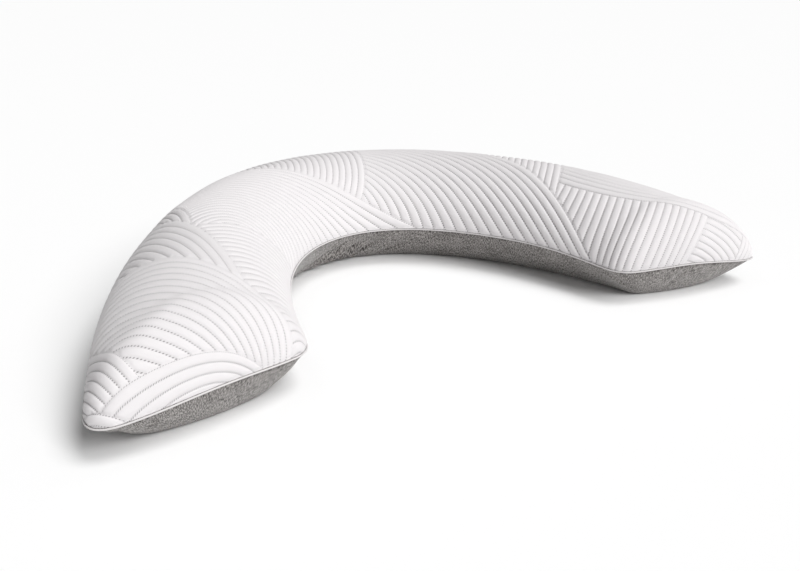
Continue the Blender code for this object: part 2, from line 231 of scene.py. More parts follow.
def evenly_spaced(outline, step):
    """The closed outline's columns at points about one step apart."""
    loop = closed(outline)
    around = run_lengths(loop)[-1]
    return at_lengths(loop, np.linspace(0.0, around, round(around / step), endpoint=False))


whole_outline = fine_outline(outer_edge, inner_edge)
print("seam:", round(run_lengths(whole_outline)[-1], 3), "m round")

# %% [markdown]
# ## The crown, and the panel laid flat
#
# The upper surface rises from the seam to the ridge in a full curve, steep at the sides and broad
# on top. A quilter draws the channels on the panel while it lies flat, so the same surface is also
# laid out flat here, ring by ring, with its lengths across the arm kept. A guide mesh ties the two
# together: a line is drawn on the flat panel, and the guide gives its place on the crown. Drawing
# straight on the crown from above would squeeze the channels together on the steep sides.

# %% Rings of the crown and of the flat panel
UNROLLING_POINTS = 160         # points at which the crown's curve is measured


def ring(outline, share):
    """Points of the upper surface at one share of the way from the ridge to the seam."""
    plan = outline[:, 2:4] + share * (outline[:, 0:2] - outline[:, 2:4])
    crown, seam = outline[:, 4], outline[:, 5]
    height = seam + (crown - seam) * (1 - share ** 2) ** SIDE_POWER
    return np.column_stack([plan, height])


def flat_ring(outline, share):
    """The same points on the panel laid flat, so that lengths across it are kept."""
    angles = np.linspace(0.0, math.asin(share), UNROLLING_POINTS)
    reach = np.linalg.norm(outline[:, 0:2] - outline[:, 2:4], axis=1)
    rise = outline[:, 4] - outline[:, 5]
    out = np.sin(angles)[:, None] * reach
    up = (np.cos(angles) ** (2 * SIDE_POWER))[:, None] * rise
    length = np.hypot(np.diff(out, axis=0), np.diff(up, axis=0)).sum(axis=0)
    return outline[:, 2:4] + (outline[:, 0:2] - outline[:, 2:4]) * (length / reach)[:, None]


# %% Softness of hand-filled cloth
SOFT_SWELL = 0.0012            # how far the filling pushes the panel in or out
SOFT_SWELL_SIZE = 0.085        # distance from one swelling to the next
SOFT_SWELL_FADE = 6            # the higher, the nearer to the seam the swellings reach
SWELL_SEED, PUFF_SEED, GATHER_SEED = 1, 2, 3
SEED_SHIFT = (7.3, 3.1, 5.7)   # how far one seed's noise lies from the next one's
SHORTEST_NORMAL = 1e-12        # keeps a normal of no length from a division by zero


def soft_noise(points, size, seed):
    """Smooth unevenness between -1 and 1, one value for each point."""
    shift = Vector([seed * part for part in SEED_SHIFT])
    return np.array([noise.noise(Vector(p) / size + shift) for p in points.tolist()])


def point_normals(points, triangles):
    """Unit normals at a mesh's points."""
    a, b, c = (points[triangles[:, i]] for i in range(3))
    facing = np.cross(b - a, c - a)
    normals = np.zeros_like(points)
    for i in range(3):
        np.add.at(normals, triangles[:, i], facing)
    lengths = np.linalg.norm(normals, axis=1, keepdims=True)
    return normals / np.maximum(lengths, SHORTEST_NORMAL)


# %% The guide from the flat panel to the crown
GUIDE_STEP = 0.0035
GUIDE_RINGS = 64


class Guide:
    """The smooth upper surface, read at points of the panel laid flat."""

    def __init__(self, outline):
        columns = evenly_spaced(outline, GUIDE_STEP)
        count = len(columns)
        shares = np.sin(np.linspace(0.0, math.pi / 2, GUIDE_RINGS + 1))
        shares[-1] = 1.0
        self.points = np.vstack([ring(columns, share) for share in shares])
        self.flat = np.vstack([flat_ring(columns, share) for share in shares])
        self.share = np.repeat(shares, count)
        inner = np.arange(GUIDE_RINGS * count)
        beside = inner - inner % count + (inner + 1) % count
        self.triangles = np.vstack([
            np.stack([inner, beside, inner + count], axis=1),
            np.stack([beside, beside + count, inner + count], axis=1)])
        self.normals = self.upward_normals()
        swell = SOFT_SWELL * soft_noise(self.points, SOFT_SWELL_SIZE, SWELL_SEED)
        swell *= 1 - self.share ** SOFT_SWELL_FADE
        self.points += self.normals * swell[:, None]
        self.normals = self.upward_normals()
        corners = np.column_stack([self.flat, np.zeros(len(self.flat))])
        self.tree = BVHTree.FromPolygons(corners.tolist(), self.triangles.tolist())

    def upward_normals(self):
        """Unit normals at the guide's points, all on the outer side."""
        normals = point_normals(self.points, self.triangles)
        return normals * np.where(normals[:, 2:] < 0, -1, 1)

    def read(self, flat):
        """Positions, normals and shares at flat points, and which points lie on the panel."""
        down = Vector((0.0, 0.0, -1.0))
        found = [self.tree.ray_cast(Vector((x, y, 1.0)), down)[2] for x, y in flat.tolist()]
        on_panel = np.array([index is not None for index in found])
        corners = self.triangles[[index or 0 for index in found]]
        a, b, c = (self.flat[corners[:, i]] for i in range(3))
        area = np.cross(b - a, c - a)
        second = np.cross(flat - a, c - a) / area
        third = np.cross(b - a, flat - a) / area
        weights = np.stack([1 - second - third, second, third], axis=1)
        position = (self.points[corners] * weights[..., None]).sum(axis=1)
        normal = (self.normals[corners] * weights[..., None]).sum(axis=1)
        normal /= np.linalg.norm(normal, axis=1, keepdims=True)
        return position, normal, (self.share[corners] * weights).sum(axis=1), on_panel


guide = Guide(whole_outline)
print("guide:", len(guide.triangles), "triangles, flat panel",
      np.round(np.ptp(guide.flat, axis=0), 3), "m")

# %% [markdown]
# ## Quilting
#
# Quilting holds the wadding in place: two cloths with wadding between them are sewn through along
# curved lines, and the cloth puffs up between the seams. Overlapping fans are a traditional
# layout. Each fan is a family of curves round one centre, a channel's width apart, and each fan in
# the table lies over the ones before it. Its channels get a little narrower towards one side, as a
# hand-drawn fan's do.

# %% The fans
FAN_COLUMNS = ("x", "y", "first", "pitch", "channels", "skew", "lean")
FAN_ROWS = (
    (0.20, -0.90, 0.03, 0.0145, 108, 0.10, 90),
    (0.92, -0.46, 0.02, 0.0140, 30, 0.25, 120),
    (0.28, 0.00, 0.03, 0.0150, 26, 0.28, 10),
    (0.66, -0.12, 0.03, 0.0140, 19, 0.30, 300),
    (0.14, 0.24, 0.03, 0.0145, 27, 0.28, 10),
    (0.46, 0.42, 0.03, 0.0135, 20, 0.30, 200),
    (-0.08, 0.08, 0.02, 0.0140, 27, 0.28, 70),
    (0.12, 0.60, 0.03, 0.0135, 23, 0.30, 220),
    (-0.26, 0.20, 0.02, 0.0140, 24, 0.25, 290),
    (-0.30, -0.10, 0.03, 0.0140, 25, 0.28, 110),
    (-0.44, 0.44, 0.02, 0.0135, 22, 0.30, 240),
    (-0.70, -0.04, 0.02, 0.0145, 26, 0.28, 300),
    (-0.24, -0.36, 0.02, 0.0145, 22, 0.28, 40),
    (-0.84, -0.34, 0.04, 0.0155, 30, 0.28, 280),
    (-0.60, -0.54, 0.03, 0.0160, 26, 0.28, 345),
    (-0.94, -0.36, 0.03, 0.0155, 28, 0.28, 60),
    (-0.40, -0.80, 0.02, 0.0155, 32, 0.28, 40),
    (-0.80, -0.66, 0.03, 0.0160, 23, 0.28, 350),
)
FANS = [dict(zip(FAN_COLUMNS, row)) for row in FAN_ROWS]


def squeeze(fan, angles):
    """How much closer together a fan's lines are in each direction from its centre."""
    return 1 + fan["skew"] * np.cos(angles - math.radians(fan["lean"]))


def fan_place(fan, flat):
    """Each flat point's place in a fan: channels from the innermost line, and the direction."""
    away = flat - (fan["x"], fan["y"])
    angles = np.arctan2(away[:, 1], away[:, 0])
    radius = np.linalg.norm(away, axis=1) * squeeze(fan, angles)
    return (radius - fan["first"]) / fan["pitch"], angles


def fan_points(fan, number, angles):
    """Flat points of one line of a fan, in the given directions, and the channels' width there."""
    radius = (fan["first"] + number * fan["pitch"]) / squeeze(fan, angles)
    away = np.stack([np.cos(angles), np.sin(angles)], axis=1) * radius[:, None]
    return away + (fan["x"], fan["y"]), fan["pitch"] / squeeze(fan, angles)


def uncovered(index, flat):
    """Which flat points of a fan lie under no later fan."""
    shown = np.ones(len(flat), bool)
    for later in FANS[index + 1:]:
        shown &= fan_place(later, flat)[0] > later["channels"]
    return shown


# %% The stretches of a line that show
SEAM_MARGIN = 0.9993           # lines stop at this share of the way to the seam
TRACE_STEP = 0.002
FEWEST_POINTS = 24             # even the smallest ring of a fan has this many
PANEL_REACH = 1.0              # the flat panel lies within this far of its middle


def visible_runs(index, number):
    """The stretches of a fan's line that lie on the panel and under no later fan."""
    fan = FANS[index]
    radius = fan["first"] + number * fan["pitch"]
    count = max(FEWEST_POINTS, round(2 * math.pi * radius / TRACE_STEP))
    line, width = fan_points(fan, number, np.linspace(0.0, 2 * math.pi, count, endpoint=False))
    shown = uncovered(index, line) & (np.abs(line) < PANEL_REACH).all(axis=1)
    if shown.any():
        share, on_panel = guide.read(line[shown])[2:]
        shown[shown] = on_panel & (share < SEAM_MARGIN)
    if not shown.any():
        return []
    start = int(np.argmin(shown))
    table = np.column_stack([line, width])
    table, shown = np.roll(table, -start, axis=0), np.roll(shown, -start)
    breaks = np.flatnonzero(np.diff(np.concatenate([[False], shown, [False]]).astype(int)))
    return [table[first:last] for first, last in breaks.reshape(-1, 2)]


# %% Points along each channel
# A channel's section: places across it, from one seam to the next, with the height there as a
# share of the crest's, and how far the line stops short of the seam that cuts the channel off.
SECTION_COLUMNS = ("across", "height", "gap")
SECTION_ROWS = (
    (0.00, 0.00, 0.0000),
    (0.10, 0.56, 0.0014),
    (0.27, 0.90, 0.0022),
    (0.50, 1.00, 0.0030),
    (0.73, 0.90, 0.0022),
    (0.90, 0.56, 0.0014),
)
SECTION = [dict(zip(SECTION_COLUMNS, row)) for row in SECTION_ROWS]
LINE_STEP = 0.0048
LINE_FLATNESS = 0.00010        # how far a line may stray between its points
SHORTEST_LINE = 0.002
GROOVE_SHARE = 0.18            # depth of a sewn groove over the width of its channel
GROOVE_MAX = 0.0029
UNEVEN_PUFF = 0.22             # how much fuller or slacker the channels are from place to place
UNEVEN_PUFF_SIZE = 0.040


def turns(directions):
    """Angles between neighbouring unit directions."""
    return np.arccos(np.clip((directions[1:] * directions[:-1]).sum(axis=1), -1.0, 1.0))


def spread_along(table, trim):
    """Places for points along a line, closer together where the line or the surface bends."""
    run = run_lengths(table)
    normal = guide.read(table[:, :2])[1]
    heading = np.diff(table[:, :2], axis=0) / np.diff(run)[:, None]
    bend = np.hypot(turns(normal), np.append(turns(heading), 0.0)) / np.diff(run)
    density = np.maximum(1 / LINE_STEP, np.sqrt(bend / (8 * LINE_FLATNESS)))
    need = np.concatenate([[0.0], np.cumsum(density * np.diff(run))])
    first, last = np.interp((trim, run[-1] - trim), run, need)
    count = max(2, math.ceil(last - first) + 1)
    return np.interp(np.linspace(first, last, count), need, run)


def channel_lines():
    """Every line of every channel: pairs of flat points and how deep they lie below a crest."""
    lines = []
    for index, fan in enumerate(FANS):
        for channel in range(fan["channels"] + 1):
            for part in SECTION if channel < fan["channels"] else SECTION[:1]:
                for table in visible_runs(index, channel + part["across"]):
                    if run_lengths(table)[-1] < 2 * part["gap"] + SHORTEST_LINE:
                        continue
                    points = at_lengths(table, spread_along(table, part["gap"]))
                    groove = np.minimum(GROOVE_SHARE * points[:, 2], GROOVE_MAX)
                    lines.append((points[:, :2], groove * (1 - part["height"])))
    return lines


lines = channel_lines()
print("channels:", len(lines), "lines,", sum(len(points) for points, _ in lines), "points")

# %% [markdown]
# ## The quilted panel
#
# The panel is a thin wadded sheet, thick where the channels puff up and pressed thin along the
# seam. Its upper face has to follow hundreds of curved lines, so a grid won't do: a constrained
# Delaunay triangulation joins all their points and keeps every line as edges. It is made on the
# flat panel, and only then lifted onto the crown. The underside is a plain smooth sheet, and a
# narrow rim closes the two into one body.

# %% Helpers for triangulated sheets
CLEARANCE = 0.0003
PANEL_THICKNESS = 0.0055
PANEL_EDGE = 0.0015
THINNING_START = 0.9965
SEAM_TUCK = 0.0020             # how far the sewn edge is pulled in behind the piping
ALMOST_SEAM = 0.9995
SAME_POINT = 1e-6              # flat points closer together than this are joined


def thickness(share):
    """The quilted panel's thickness at a share of the way from the ridge to the seam."""
    t = np.clip((1 - share) / (1 - THINNING_START), 0.0, 1.0)
    return PANEL_EDGE + (PANEL_THICKNESS - PANEL_EDGE) * t * t * (3 - 2 * t)


def pressed_in(depth, position, share):
    """Depths below the crests made a little uneven, and never past half the thickness."""
    puff = 1 + UNEVEN_PUFF * soft_noise(position, UNEVEN_PUFF_SIZE, PUFF_SEED)
    return np.minimum(depth * puff, thickness(share) / 2)


def triangulated(points, edges):
    """Triangles between flat points that keep the given edges; points that it adds come last."""
    result = delaunay_2d_cdt([Vector(p) for p in points.tolist()], edges, [], 1, SAME_POINT)
    names, added = [], []
    for place, source in zip(result[0], result[3]):
        names.append(source[0] if source else len(points) + len(added))
        if not source:
            added.append(tuple(place))
    points = np.vstack([points, np.array(added).reshape(-1, 2)])
    return points, np.array([[names[i] for i in face] for face in result[2]])


def loop_edges(first, count):
    """Edges round a closed loop of points."""
    return [(first + i, first + (i + 1) % count) for i in range(count)]


def chain_edges(first, count):
    """Edges along an open line of points."""
    return [(first + i, first + i + 1) for i in range(count - 1)]


def strip(upper, lower, count):
    """Triangles between two closed loops of points, given where each loop starts."""
    here = np.arange(count)
    beside = (here + 1) % count
    return np.vstack([
        np.stack([upper + here, upper + beside, lower + beside], axis=1),
        np.stack([upper + here, lower + beside, lower + here], axis=1)])


# %% The surface under the quilting
SEAM_STEP = 0.0042
SMOOTH_RINGS = (0.25, 0.50, 0.70, 0.84, 0.93, 0.975, 0.993)


def outward_at_seam(outline):
    """Level unit directions that point out of the pillow, at the seam."""
    outward = guide.read(flat_ring(outline, ALMOST_SEAM))[1]
    outward[:, 2] = 0.0
    return outward / np.linalg.norm(outward, axis=1, keepdims=True)


def surface_points(outline, inside):
    """The smooth surface at the seam and at flat points inside it: positions, normals, shares."""
    position, normal, share, _ = guide.read(inside)
    return (np.vstack([ring(outline, 1.0), position]),
            np.vstack([outward_at_seam(outline), normal]),
            np.concatenate([np.ones(len(outline)), share]))


def smooth_side(outline):
    """The surface between panel and cushion: flat points, positions, normals, shares, triangles."""
    count = len(outline)
    rings = [flat_ring(outline, share) for share in (1.0,) + SMOOTH_RINGS[::-1]]
    edges = [edge for i in range(len(rings)) for edge in loop_edges(i * count, count)]
    flat, faces = triangulated(np.vstack(rings), edges)
    return flat, *surface_points(outline, flat[count:]), faces


# %% A finished mesh object
def new_piece(name, points, faces, cloth):
    """A smooth-shaded object, its faces turned outwards, with places on its cloth as a UV map."""
    used = np.unique(faces)
    mesh = bpy.data.meshes.new(name)
    mesh.from_pydata(points[used].tolist(), [], np.searchsorted(used, faces).tolist())
    body = bmesh.new()
    body.from_mesh(mesh)
    bmesh.ops.recalc_face_normals(body, faces=body.faces)
    body.to_mesh(mesh)
    body.free()
    mesh.shade_smooth()
    corners = np.zeros(len(mesh.loops), np.int32)
    mesh.loops.foreach_get("vertex_index", corners)
    mesh.uv_layers.new(name="cloth").data.foreach_set("uv", cloth[used][corners].ravel())
    piece = add_object(name, mesh)
    print(name + ":", len(mesh.polygons), "triangles")
    return piece, used[corners]


# %% Sew the quilted panel
def quilted_panel(outline, lines):
    """The wadded upper panel: its points, triangles and the flat cloth under each point."""
    count = len(outline)
    flats, edges, depths = [flat_ring(outline, 1.0)], loop_edges(0, count), [np.zeros(count)]
    total = count
    for points, depth in lines:
        flats.append(points)
        depths.append(depth)
        edges += chain_edges(total, len(points))
        total += len(points)
    flat, above = triangulated(np.vstack(flats), edges)
    depth = np.concatenate(depths + [np.full(len(flat) - total, GROOVE_MAX)])
    position, normal, share = surface_points(outline, flat[count:])
    depth = pressed_in(depth, position, share)
    depth[:count] = SEAM_TUCK
    top = position - normal * depth[:, None]
    flat_below, position, normal, share, below = smooth_side(outline)
    bottom = position - normal * thickness(share)[:, None]
    faces = np.vstack([above, below[:, ::-1] + len(top), strip(0, len(top), count)])
    return np.vstack([top, bottom]), faces, np.vstack([flat, flat_below])


seam_outline = evenly_spaced(whole_outline, SEAM_STEP)
panel_points, panel_faces, panel_cloth = quilted_panel(seam_outline, lines)
panel, panel_corners = new_piece("quilted_panel", panel_points, panel_faces, panel_cloth)


# %% Number the channels for the stitches
def channel_map(piece, corners, cloth):
    """A second UV map: the channel's number across, and metres sewn along it."""
    flat = cloth[corners]
    centre = flat.reshape(-1, 3, 2).mean(axis=1)
    owner = np.zeros(len(centre), int)
    for index, fan in enumerate(FANS):
        owner[fan_place(fan, centre)[0] < fan["channels"]] = index
    owner = np.repeat(owner, 3)
    centre = np.repeat(centre, 3, axis=0)
    values = np.zeros((len(flat), 2))
    for index, fan in enumerate(FANS):
        mine = owner == index
        number, angles = fan_place(fan, flat[mine])
        middle = fan_place(fan, centre[mine])[1]
        angles = middle + (angles - middle + math.pi) % (2 * math.pi) - math.pi
        values[mine] = np.stack(
            [number, angles * (fan["first"] + number * fan["pitch"])], axis=1)
    piece.data.uv_layers.new(name="channel").data.foreach_set("uv", values.ravel())


channel_map(panel, panel_corners, panel_cloth)

# %% [markdown]
# ## Stitches
#
# A quilting machine leaves a dotted line: the thread lies on the cloth for about three
# millimetres, then dives through it at a needle hole. There are thousands of these, all alike, so
# a Geometry Nodes tree places one small stitch on every point of a plain list of points. Each
# point carries two directions as attributes, along the seam and out of the cloth, and the tree
# turns the stitch to them.

# %% Where the stitches go
STITCH_PITCH = 0.0042
STITCH_LENGTH = 0.0031
THREAD_RADIUS = 0.00042
STITCH_SINK = 0.35             # share of the thread's radius that is pulled into the cloth


def stitch_places():
    """Positions of all stitches, with the directions along the seam and out of the cloth."""
    found = []
    for index, fan in enumerate(FANS):
        for number in range(fan["channels"] + 1):
            radius = fan["first"] + number * fan["pitch"]
            half = math.floor(math.pi * radius / STITCH_PITCH)
            angles = np.arange(-half, half + 1) * STITCH_PITCH / radius
            before, after = (
                fan_points(fan, number, angles + side * STITCH_LENGTH / radius / 2)[0]
                for side in (-1, 1))
            middle, width = fan_points(fan, number, angles)
            shown = uncovered(index, middle) & (np.abs(middle) < PANEL_REACH).all(axis=1)
            if not shown.any():
                continue
            position, normal, share, on_panel = guide.read(middle[shown])
            along = guide.read(after[shown])[0] - guide.read(before[shown])[0]
            groove = np.minimum(GROOVE_SHARE * width[shown], GROOVE_MAX)
            depth = pressed_in(groove, position, share) - THREAD_RADIUS * (1 - STITCH_SINK)
            keep = on_panel & (share < SEAM_MARGIN)
            found.append(np.hstack([position - normal * depth[:, None], along, normal])[keep])
    return np.vstack(found)


places = stitch_places()
stitches = add_object("panel_stitches", bpy.data.meshes.new("panel_stitches"))
stitches.data.from_pydata(places[:, :3].tolist(), [], [])
for title, first in (("along", 3), ("outward", 6)):
    directions = stitches.data.attributes.new(title, "FLOAT_VECTOR", "POINT")
    directions.data.foreach_set("vector", places[:, first:first + 3].ravel())
print("stitches:", len(places))


# %% [markdown]
# ## Colours and nodes
#
# Colours are written as the hex values a painter would pick on screen, and one function turns them
# into the linear values that Blender mixes. A second small function adds a node, sets its values
# and joins its inputs to sockets, or to the first output of other nodes. Every tree below, for
# shapes as for materials, is built with it.

# %% Helpers for node trees
def linear(hex_colour):
    """An sRGB hex colour as linear red, green, blue and alpha."""
    levels = [int(hex_colour[i:i + 2], 16) / 255 for i in (1, 3, 5)]
    return [v / 12.92 if v <= 0.04045 else ((v + 0.055) / 1.055) ** 2.4 for v in levels] + [1.0]


def add_node(tree, kind, inputs=None, **settings):
    """A new node with its settings made and its inputs set to values or joined to others."""
    node = tree.nodes.new(kind)
    for name, value in settings.items():
        setattr(node, name, value)
    for name, value in (inputs or {}).items():
        socket = node.inputs[name]
        if isinstance(value, bpy.types.Node):
            tree.links.new(value.outputs[0], socket)
        elif isinstance(value, bpy.types.NodeSocket):
            tree.links.new(value, socket)
        else:
            socket.default_value = value
    return node


def new_cloth(name, values):
    """A material with only a Principled BSDF, its plain values set on the shader itself."""
    material = bpy.data.materials.new(name)
    material.use_nodes = True
    shader = material.node_tree.nodes["Principled BSDF"]
    for title, value in values.items():
        shader.inputs[title].default_value = value
    return material, material.node_tree, shader


# %% [markdown]
# ## White double knit
#
# The panel's cloth is a brushed cotton double knit: matt, slightly downy, and so white that its
# colour comes almost only from light and shade. Its loops are about a millimetre wide, finer than
# a pixel here, so they are a faint bump. The needle's holes sit on the seams, between one stitch
# and the next, and are drawn from the channel map: a distance across the channel and one along it
# give a round spot, a little sunken and darkened with painted shade, as a hole that holds shadow
# is.

# %% Mix the white knit
KNIT_WHITE = "#E2DFE0"
# Painted shade: the grey that the needle holes are darkened towards.
HOLE_SHADE_GREY = "#9A9798"
KNIT_LOOP = 0.0011             # width of one column of loops
KNIT_ROW = 0.0015              # height of one row of loops
KNIT_RELIEF = 0.00010
DOWN_SIZE = 0.0006             # the short fibres that stand off the loops
DOWN_RELIEF = 0.00008
HOLE_RADIUS = 0.0004
HOLE_SOFT_RADIUS = 0.0014
HOLE_DEPTH = 0.0006
TYPICAL_PITCH = 0.0142

white_knit, tree, shader = new_cloth("brushed_cotton_double_knit", {
    "Roughness": 0.92, "Specular IOR Level": 0.25, "Sheen Weight": 0.10, "Sheen Roughness": 0.6})
channel = add_node(tree, "ShaderNodeUVMap", uv_map="channel")
number = add_node(tree, "ShaderNodeSeparateXYZ", {"Vector": channel})
across = add_node(tree, "ShaderNodeMath", {0: number.outputs["X"], 1: 0.5}, operation="PINGPONG")
from_seam = add_node(tree, "ShaderNodeMath", {0: across, 1: TYPICAL_PITCH}, operation="MULTIPLY")
sewn = add_node(tree, "ShaderNodeMath", {
    0: number.outputs["Y"], 1: STITCH_PITCH / 2}, operation="ADD")
from_hole = add_node(tree, "ShaderNodeMath", {0: sewn, 1: STITCH_PITCH / 2}, operation="PINGPONG")
both = add_node(tree, "ShaderNodeCombineXYZ", {"X": from_seam, "Y": from_hole})
apart = add_node(tree, "ShaderNodeVectorMath", {0: both}, operation="LENGTH")
hole = add_node(tree, "ShaderNodeMapRange", {
    "Value": apart.outputs["Value"], "From Min": HOLE_SOFT_RADIUS, "From Max": HOLE_RADIUS},
    interpolation_type="SMOOTHSTEP")
# Painted shade in the needle holes: the white is mixed towards the grey where the hole mask is
# full.
colour = add_node(tree, "ShaderNodeMix", {
    "Factor": hole, 6: linear(KNIT_WHITE), 7: linear(HOLE_SHADE_GREY)}, data_type="RGBA")
tree.links.new(colour.outputs[2], shader.inputs["Base Color"])

cloth = add_node(tree, "ShaderNodeUVMap", uv_map="cloth")
place = add_node(tree, "ShaderNodeSeparateXYZ", {"Vector": cloth})
from_column = add_node(tree, "ShaderNodeMath", {
    0: place.outputs["X"], 1: KNIT_LOOP / 2}, operation="PINGPONG")
slanted = add_node(tree, "ShaderNodeMath", {
    0: place.outputs["Y"], 1: from_column}, operation="ADD")
turned = add_node(tree, "ShaderNodeMath", {
    0: slanted, 1: 2 * math.pi / KNIT_ROW}, operation="MULTIPLY")
rows = add_node(tree, "ShaderNodeMath", {0: turned}, operation="SINE")
down = add_node(tree, "ShaderNodeTexNoise", {
    "Vector": cloth, "Scale": 1 / DOWN_SIZE, "Detail": 2.0})
downy = add_node(tree, "ShaderNodeMath", {0: down, 1: DOWN_RELIEF}, operation="MULTIPLY")
knitted = add_node(tree, "ShaderNodeMath", {
    0: rows, 1: KNIT_RELIEF, 2: downy}, operation="MULTIPLY_ADD")
pierced = add_node(tree, "ShaderNodeMath", {
    0: hole, 1: -HOLE_DEPTH, 2: knitted}, operation="MULTIPLY_ADD")
bump = add_node(tree, "ShaderNodeBump", {"Height": pierced, "Distance": 1.0, "Strength": 1.0})
tree.links.new(bump.outputs["Normal"], shader.inputs["Normal"])
print("white knit:", len(tree.nodes), "nodes")

# %% [markdown]
# ## Heather jersey
#
# The underside is a single jersey knitted from a mixed yarn: light and dark fibres are spun
# together, so each loop shows a short streak of its own grey. The streaks run along the columns of
# loops and are drawn a little over a millimetre wide, about twice a loop's real width, so that
# they show. Noise stretched along the cloth gives such streaks, and a ramp with three greys gives
# them the crisp ends of fibres.

# %% Mix the heather jersey
STREAK_WIDTH = 0.0012
STREAK_LENGTH = 0.0065
GRAIN_TURN = 10                # degrees from the cloth's length to the columns of loops
CLOUD_SIZE = 0.030             # soft light and dark areas where the yarn changes
CLOUD_SHARE = 0.12
JERSEY_RELIEF = 0.00035
HEATHER_GREYS = ((0.43, "#3F3C3A"), (0.54, "#6F6B69"), (0.65, "#ABA7A4"))

heather, tree, shader = new_cloth("heather_cotton_jersey", {
    "Roughness": 0.95, "Specular IOR Level": 0.2, "Sheen Weight": 0.3, "Sheen Roughness": 0.5})
cloth = add_node(tree, "ShaderNodeUVMap", uv_map="cloth")
stretched = add_node(tree, "ShaderNodeMapping", {
    "Vector": cloth, "Scale": (STREAK_WIDTH, STREAK_LENGTH, 1.0),
    "Rotation": (0.0, 0.0, -math.radians(GRAIN_TURN))}, vector_type="TEXTURE")
streaks = add_node(tree, "ShaderNodeTexNoise", {
    "Vector": stretched, "Scale": 1.0, "Detail": 2.0, "Roughness": 0.6})
clouds = add_node(tree, "ShaderNodeTexNoise", {
    "Vector": cloth, "Scale": 1 / CLOUD_SIZE, "Detail": 2.0})
mixed = add_node(tree, "ShaderNodeMath", {
    0: clouds, 1: CLOUD_SHARE, 2: streaks}, operation="MULTIPLY_ADD")
ramp = add_node(tree, "ShaderNodeValToRGB", {"Fac": mixed})
while len(ramp.color_ramp.elements) < len(HEATHER_GREYS):
    ramp.color_ramp.elements.new(0.5)
for stop, (position, grey) in zip(ramp.color_ramp.elements, HEATHER_GREYS):
    stop.position = position
    stop.color = linear(grey)
tree.links.new(ramp.outputs["Color"], shader.inputs["Base Color"])
looped = add_node(tree, "ShaderNodeMath", {0: streaks, 1: JERSEY_RELIEF}, operation="MULTIPLY")
bump = add_node(tree, "ShaderNodeBump", {"Height": looped, "Distance": 1.0, "Strength": 1.0})
tree.links.new(bump.outputs["Normal"], shader.inputs["Normal"])
print("heather jersey:", len(tree.nodes), "nodes")

# %% [markdown]
# ## Piping and thread
#
# The piping is a thin cord covered in a strip of woven cotton: matt, with its weave as a faint
# bump. Its white is drawn as a light grey, darker than the knit: painted shade of the seam it lies
# in. The thread is spun polyester, smoother and glossier than the cloth round it. Its plies twist
# round each other; their tops are painted lighter and the hollows between them darker, painted
# light and shade that gives every stitch a slightly uneven white.

# %% Mix the piping's cotton and the thread
WEAVE_SIZE = 0.0009
WEAVE_RELIEF = 0.00010
PLY_SIZE = 0.0005              # twice the real width of a ply, so that it shows
PLY_RELIEF = 0.00004
PLY_LIGHT_AND_SHADE = ("#D8D6D7", "#F2F0F1")

# Painted shade: the white cotton gets a light grey base colour for the shade along the seam.
piping_cotton, tree, shader = new_cloth("woven_cotton_piping", {
    "Base Color": linear("#CFCCCC"), "Roughness": 0.85, "Specular IOR Level": 0.3})
own_place = add_node(tree, "ShaderNodeTexCoord")
weave = add_node(tree, "ShaderNodeTexNoise", {
    "Vector": own_place.outputs["Object"], "Scale": 1 / WEAVE_SIZE, "Detail": 1.0})
woven = add_node(tree, "ShaderNodeMath", {0: weave, 1: WEAVE_RELIEF}, operation="MULTIPLY")
bump = add_node(tree, "ShaderNodeBump", {"Height": woven, "Distance": 1.0, "Strength": 1.0})
tree.links.new(bump.outputs["Normal"], shader.inputs["Normal"])

thread, tree, shader = new_cloth("spun_polyester_thread", {
    "Roughness": 0.55, "Specular IOR Level": 0.4})
own_place = add_node(tree, "ShaderNodeTexCoord")
plies = add_node(tree, "ShaderNodeTexNoise", {
    "Vector": own_place.outputs["Object"], "Scale": 1 / PLY_SIZE, "Detail": 1.0})
# Painted light and shade: the noise that raises the plies also lightens their tops and darkens the
# hollows between them.
white = add_node(tree, "ShaderNodeMix", {
    "Factor": plies, 6: linear(PLY_LIGHT_AND_SHADE[0]), 7: linear(PLY_LIGHT_AND_SHADE[1])}, data_type="RGBA")
tree.links.new(white.outputs[2], shader.inputs["Base Color"])
twisted = add_node(tree, "ShaderNodeMath", {0: plies, 1: PLY_RELIEF}, operation="MULTIPLY")
bump = add_node(tree, "ShaderNodeBump", {"Height": twisted, "Distance": 1.0, "Strength": 1.0})
tree.links.new(bump.outputs["Normal"], shader.inputs["Normal"])
panel.data.materials.append(white_knit)

# %% [markdown]
# ## Stitches from Geometry Nodes
#
# The tree makes one stitch, a small pointed bead as long as the thread lies on the cloth. Instance
# on Points copies it to every point, and the two Align Rotation nodes turn each copy: the first
# lays it along the seam, and the second rolls it so that its flat side faces the cloth.

# %% Helpers for trees that make shapes
def new_tree(name, sizes):
    """A Geometry Nodes tree whose inputs are a geometry, named sizes and a material."""
    tree = bpy.data.node_groups.new(name, "GeometryNodeTree")
    tree.interface.new_socket("Geometry", in_out="INPUT", socket_type="NodeSocketGeometry")
    for title, value in sizes.items():
        socket = tree.interface.new_socket(title, in_out="INPUT", socket_type="NodeSocketFloat")
        socket.default_value = value
    tree.interface.new_socket("Material", in_out="INPUT", socket_type="NodeSocketMaterial")
    tree.interface.new_socket("Geometry", in_out="OUTPUT", socket_type="NodeSocketGeometry")
    return tree, tree.nodes.new("NodeGroupInput").outputs


